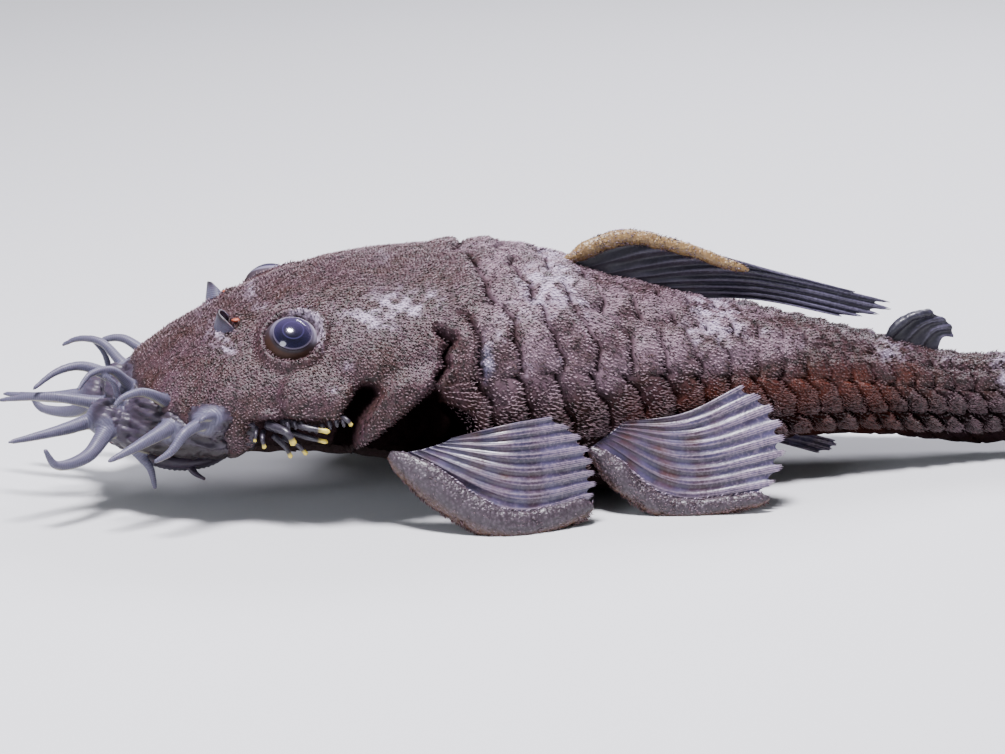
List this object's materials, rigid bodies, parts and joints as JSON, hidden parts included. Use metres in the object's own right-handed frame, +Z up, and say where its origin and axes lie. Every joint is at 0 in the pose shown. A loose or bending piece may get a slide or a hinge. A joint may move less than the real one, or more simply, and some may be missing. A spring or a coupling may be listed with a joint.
{
  "type": "bristlenose pleco",
  "caption": "Life-size still model of a male bristlenose pleco lying on the bottom, with branched snout bristles, cheek spines, bony plates and rayed fins.",
  "frame": {"origin": "the middle of the flat of the belly, between the pelvic fins, on the plane that the animal lies on", "axes": "+X from the head towards the tail, -Y to the animal's left, +Z up"},
  "size_m": [0.1342, 0.0412, 0.0248],
  "materials": {
    "skin": "brown, finely grained armoured skin",
    "snout_skin": "smooth naked lavender-grey skin",
    "lips": "soft pale lips",
    "fins": "slate fins with lighter rays",
    "dark_fins": "near-black fin membrane",
    "eyes": "wet dark eye"
  },
  "bodies": {
    "root": {"snout": "snout_skin", "head": "skin", "mouth": "lips", "eye_left": "eyes", "eye_right": "eyes", "cheek_left": "skin", "cheek_right": "skin", "gill_cover_left": "skin", "gill_cover_right": "skin", "trunk": "skin", "tail_front": "skin", "tail_rear": "skin", "dorsal_fin": "dark_fins", "adipose_fin": "dark_fins", "anal_fin": "fins", "caudal_fin": "fins", "pectoral_fin_left": "fins", "pectoral_fin_right": "fins", "pelvic_fin_left": "fins", "pelvic_fin_right": "fins"}
  },
  "joints": []
}
